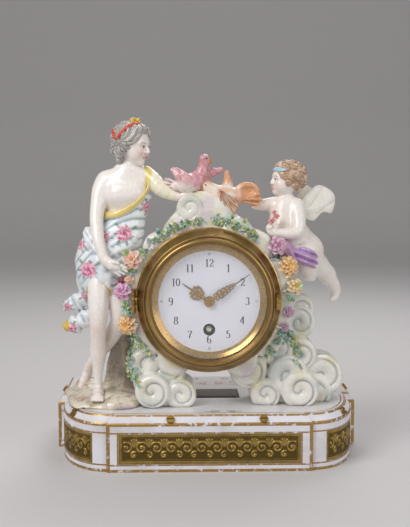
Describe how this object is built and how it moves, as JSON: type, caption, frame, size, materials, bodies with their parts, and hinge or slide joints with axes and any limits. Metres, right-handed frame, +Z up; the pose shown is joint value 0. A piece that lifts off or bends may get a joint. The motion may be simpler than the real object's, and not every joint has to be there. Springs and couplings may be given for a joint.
{
  "type": "figural mantel clock",
  "caption": "Porcelain figural mantel clock with a standing figure, cherub and doves round a brass-cased dial on a white and gilt plinth; opening bezel, rear cover and geared hands.",
  "frame": {"origin": "centre of the bounding box at the underside of the plinth", "axes": "+Z up, -Y towards the viewer through the dial, +X to the viewer's right"},
  "size_m": [0.2826, 0.1716, 0.3028],
  "materials": {
    "white_paint": "white oil paint with worn gilt lines",
    "bare_wood": "unpainted pine",
    "relief_brass": "aged cast brass with scroll relief",
    "stud_brass": "worn brass",
    "slab_porcelain": "white glaze with gilt strapwork",
    "mound_porcelain": "beige and mauve tints under glaze",
    "cloud_porcelain": "white glaze with brown, mauve and yellow tints",
    "skin_porcelain": "flesh tints under glaze",
    "hair_porcelain": "grey-brown painted strokes",
    "drape_porcelain": "white glaze with painted roses and yellow edges",
    "curl_porcelain": "brown painted strokes",
    "wing_porcelain": "white glaze",
    "sash_porcelain": "purple paint under glaze",
    "pink_porcelain": "pink and white paint under glaze",
    "orange_porcelain": "orange and brown paint under glaze",
    "flower_porcelain": "many painted colours under glaze",
    "leaf_porcelain": "green paint under glaze",
    "bezel_brass": "polished, lightly tarnished",
    "case_brass": "spun brass",
    "glass": "clear",
    "dial_enamel": "white enamel with painted figures",
    "movement_brass": "brushed",
    "movement_steel": "polished",
    "hand_gilt": "gilt"
  },
  "bodies": {
    "case": {"plinth_carcass": "white_paint", "plinth_cornice": "white_paint", "plinth_bottom_board": "bare_wood", "front_panel": "relief_brass", "left_corner_panel": "relief_brass", "right_corner_panel": "relief_brass", "cornice_studs": "stud_brass", "group_slab": "slab_porcelain", "rock_mound": "mound_porcelain", "cloud_left": "cloud_porcelain", "cloud_right": "cloud_porcelain", "cloud_collar": "cloud_porcelain", "lady_bust": "skin_porcelain", "lady_hair": "hair_porcelain", "lady_drapery": "drape_porcelain", "lady_right_arm": "skin_porcelain", "lady_left_arm": "drape_porcelain", "lady_right_leg": "skin_porcelain", "lady_left_leg": "skin_porcelain", "drapery_tail": "drape_porcelain", "cherub_body": "skin_porcelain", "cherub_hair": "curl_porcelain", "cherub_wings": "wing_porcelain", "cherub_sash": "sash_porcelain", "pink_dove": "pink_porcelain", "orange_dove": "orange_porcelain", "flowers_left": "flower_porcelain", "flowers_right": "flower_porcelain", "leaf_garlands": "leaf_porcelain", "drum_case": "case_brass", "bezel_flange": "bezel_brass", "cover_hinge_leaf": "case_brass", "hinge_pins": "movement_steel", "dial_plate": "dial_enamel", "sight_ring": "case_brass", "front_plate": "movement_brass", "back_plate": "movement_brass", "plate_pillars": "movement_brass", "minute_post": "movement_steel"},
    "door": {"bezel_door": "bezel_brass", "bezel_glass": "glass", "bezel_latch": "bezel_brass"},
    "rear_cover": {"back_cover": "case_brass"},
    "centre": {"centre_wheel": "movement_brass", "cannon_pinion": "movement_steel", "minute_hand": "hand_gilt", "hand_collet": "hand_gilt"},
    "hour": {"hour_wheel": "movement_brass", "hour_hand": "hand_gilt"},
    "minute_work": {"minute_wheel": "movement_brass"},
    "barrel_body": {"barrel": "movement_brass"},
    "winder": {"winding_arbor": "movement_steel"},
    "click_body": {"click": "movement_steel"},
    "intermediate": {"intermediate_wheel": "movement_brass"},
    "third": {"third_wheel": "movement_brass"},
    "escape": {"escape_wheel": "movement_brass"},
    "lever_body": {"lever": "movement_steel"},
    "balance": {"balance_wheel": "movement_brass"}
  },
  "joints": [
    {"name": "door_hinge", "type": "hinge", "parent": "case", "child": "door", "pos_m": [-0.0662, -0.0575, 0.1455], "axis": [0, 0, -1], "range_deg": [0, 100]},
    {"name": "cover_hinge", "type": "hinge", "parent": "case", "child": "rear_cover", "pos_m": [0.0629, -0.0047, 0.1455], "axis": [0, 0, -1], "range_deg": [0, 88]},
    {"name": "hands_turn", "type": "hinge", "parent": "case", "child": "centre", "pos_m": [0, -0.04, 0.1455], "axis": [0, 1, 0], "continuous": true},
    {"name": "hour_turn", "type": "hinge", "parent": "case", "child": "hour", "pos_m": [0, -0.058, 0.1455], "axis": [0, 1, 0], "continuous": true},
    {"name": "minute_work_turn", "type": "hinge", "parent": "case", "child": "minute_work", "pos_m": [-0.01137, -0.056, 0.14136], "axis": [0, 1, 0], "continuous": true},
    {"name": "intermediate_turn", "type": "hinge", "parent": "case", "child": "intermediate", "pos_m": [0.01741, -0.04, 0.13788], "axis": [0, 1, 0], "continuous": true},
    {"name": "barrel_turn", "type": "hinge", "parent": "case", "child": "barrel_body", "pos_m": [0, -0.04, 0.1205], "axis": [0, 1, 0], "continuous": true},
    {"name": "third_turn", "type": "hinge", "parent": "case", "child": "third", "pos_m": [-0.0114, -0.04, 0.15909], "axis": [0, 1, 0], "continuous": true},
    {"name": "escape_turn", "type": "hinge", "parent": "case", "child": "escape", "pos_m": [-0.00085, -0.04, 0.16795], "axis": [0, 1, 0], "continuous": true},
    {"name": "winding", "type": "hinge", "parent": "case", "child": "winder", "pos_m": [0, -0.04, 0.1205], "axis": [0, 1, 0], "continuous": true},
    {"name": "click_lift", "type": "hinge", "parent": "case", "child": "click_body", "pos_m": [0.0152, -0.024, 0.1269], "axis": [0, 1, 0], "range_deg": [0, 12]},
    {"name": "lever_rock", "type": "hinge", "parent": "case", "child": "lever_body", "pos_m": [0.00965, -0.04, 0.16795], "axis": [0, 1, 0], "range_deg": [-6, 6]},
    {"name": "balance_swing", "type": "hinge", "parent": "case", "child": "balance", "pos_m": [0.02265, -0.04, 0.16795], "axis": [0, 1, 0], "range_deg": [-135, 135]}
  ],
  "couplings": [
    {"joint": "hour_turn", "follows": "hands_turn", "ratio": 0.083333},
    {"joint": "minute_work_turn", "follows": "hands_turn", "ratio": -0.33333},
    {"joint": "intermediate_turn", "follows": "hands_turn", "ratio": -0.2},
    {"joint": "barrel_turn", "follows": "hands_turn", "ratio": 0.033333},
    {"joint": "third_turn", "follows": "hands_turn", "ratio": -6},
    {"joint": "escape_turn", "follows": "hands_turn", "ratio": 30}
  ]
}
